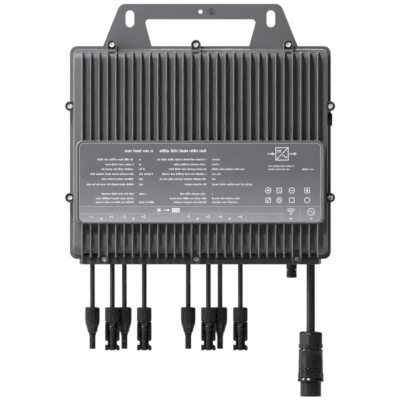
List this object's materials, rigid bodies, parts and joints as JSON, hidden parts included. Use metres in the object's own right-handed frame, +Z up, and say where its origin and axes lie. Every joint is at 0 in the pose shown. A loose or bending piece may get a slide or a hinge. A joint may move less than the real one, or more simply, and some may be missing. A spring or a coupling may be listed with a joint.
{
  "type": "micro inverter",
  "caption": "Wall-hung micro inverter in a finned die-cast case with a slotted hanging bracket, solar input leads with latching plugs, and an AC lead with a barrel connector.",
  "frame": {"origin": "midway between the two hanger slots, on the rear face of the cover plate", "axes": "+Z up, +X to the right seen from the front, +Y from the front towards the wall"},
  "size_m": [0.3561, 0.0502, 0.5188],
  "materials": {
    "housing": "dark grey powder-coated die casting, satin",
    "cover": "dark grey powder-coated plate, satin",
    "label": "printed polyester label",
    "steel": "stainless screw, bright",
    "black_plastic": "black glass-filled nylon, satin",
    "entry_plastic": "dark grey moulded plastic",
    "cable_jacket": "black cross-linked jacket",
    "rubber": "black silicone",
    "board": "green solder mask",
    "copper": "tinned or enamelled copper",
    "ferrite": "sintered ferrite",
    "capacitor": "aluminium can in sleeve",
    "component": "black epoxy moulding",
    "film": "dipped film capacitor",
    "terminal": "green terminal block",
    "thermal": "grey thermal pad"
  },
  "bodies": {
    "inverter": {"front_housing": "housing", "rear_cover": "cover", "housing_gasket": "rubber", "cable_entry_block": "entry_plastic", "rating_label": "label", "cover_screws": "steel", "vent_plug": "black_plastic", "pv_cable_seals": "rubber", "ac_cable_seal": "rubber", "internal_leads": "cable_jacket", "pv_cap_nuts": "black_plastic", "lead_contacts": "copper", "radio_port_body": "black_plastic", "ac_cable": "cable_jacket", "ac_gland_nut": "black_plastic", "ac_connector_body": "black_plastic", "ac_spigot": "black_plastic", "ac_insert": "black_plastic", "ac_contacts": "copper", "main_board": "board", "board_screws": "steel", "thermal_pads": "thermal", "power_transistors": "component", "transformer_cores": "ferrite", "transformer_windings": "copper", "input_capacitors": "capacitor", "choke_cores": "ferrite", "choke_windings": "copper", "film_capacitors": "film", "relays": "component", "wire_terminals": "terminal", "radio_board": "board", "pv_cable_minus_1": "cable_jacket", "minus_connector_1": "black_plastic", "pv_cable_plus_1": "cable_jacket", "plus_connector_1": "black_plastic", "pv_cable_minus_2": "cable_jacket", "minus_connector_2": "black_plastic", "pv_cable_plus_2": "cable_jacket", "plus_connector_2": "black_plastic", "pv_cable_minus_3": "cable_jacket", "minus_connector_3": "black_plastic", "pv_cable_plus_3": "cable_jacket", "plus_connector_3": "black_plastic", "pv_cable_minus_4": "cable_jacket", "minus_connector_4": "black_plastic", "pv_cable_plus_4": "cable_jacket", "plus_connector_4": "black_plastic"},
    "radio_cap": {"radio_port_cap": "black_plastic"},
    "ac_ring": {"ac_coupling_ring": "black_plastic"},
    "finger_1_left": {"latch_finger_1_left": "black_plastic"},
    "finger_1_right": {"latch_finger_1_right": "black_plastic"},
    "finger_2_left": {"latch_finger_2_left": "black_plastic"},
    "finger_2_right": {"latch_finger_2_right": "black_plastic"},
    "finger_3_left": {"latch_finger_3_left": "black_plastic"},
    "finger_3_right": {"latch_finger_3_right": "black_plastic"},
    "finger_4_left": {"latch_finger_4_left": "black_plastic"},
    "finger_4_right": {"latch_finger_4_right": "black_plastic"}
  },
  "joints": [
    {"name": "radio_cap_turn", "type": "hinge", "parent": "inverter", "child": "radio_cap", "pos_m": [0.1205, -0.0165, -0.337], "axis": [0, 0, -1], "range_deg": [0, 1080]},
    {"name": "ac_ring_turn", "type": "hinge", "parent": "inverter", "child": "ac_ring", "pos_m": [0.14575, -0.019, -0.47], "axis": [0, 0, -1], "range_deg": [0, 60]},
    {"name": "latch_1_left_press", "type": "hinge", "parent": "inverter", "child": "finger_1_left", "pos_m": [-0.12445, -0.0236, -0.4034], "axis": [0, -1, 0], "range_deg": [0, 2.2], "stiffness_Nm_per_rad": 2},
    {"name": "latch_1_right_press", "type": "hinge", "parent": "inverter", "child": "finger_1_right", "pos_m": [-0.10775, -0.0236, -0.4034], "axis": [0, 1, 0], "range_deg": [0, 2.2], "stiffness_Nm_per_rad": 2},
    {"name": "latch_2_left_press", "type": "hinge", "parent": "inverter", "child": "finger_2_left", "pos_m": [-0.08235, -0.0236, -0.4034], "axis": [0, -1, 0], "range_deg": [0, 2.2], "stiffness_Nm_per_rad": 2},
    {"name": "latch_2_right_press", "type": "hinge", "parent": "inverter", "child": "finger_2_right", "pos_m": [-0.06565, -0.0236, -0.4034], "axis": [0, 1, 0], "range_deg": [0, 2.2], "stiffness_Nm_per_rad": 2},
    {"name": "latch_3_left_press", "type": "hinge", "parent": "inverter", "child": "finger_3_left", "pos_m": [0.00225, -0.0236, -0.4034], "axis": [0, -1, 0], "range_deg": [0, 2.2], "stiffness_Nm_per_rad": 2},
    {"name": "latch_3_right_press", "type": "hinge", "parent": "inverter", "child": "finger_3_right", "pos_m": [0.01895, -0.0236, -0.4034], "axis": [0, 1, 0], "range_deg": [0, 2.2], "stiffness_Nm_per_rad": 2},
    {"name": "latch_4_left_press", "type": "hinge", "parent": "inverter", "child": "finger_4_left", "pos_m": [0.04445, -0.0236, -0.4034], "axis": [0, -1, 0], "range_deg": [0, 2.2], "stiffness_Nm_per_rad": 2},
    {"name": "latch_4_right_press", "type": "hinge", "parent": "inverter", "child": "finger_4_right", "pos_m": [0.06115, -0.0236, -0.4034], "axis": [0, 1, 0], "range_deg": [0, 2.2], "stiffness_Nm_per_rad": 2}
  ]
}
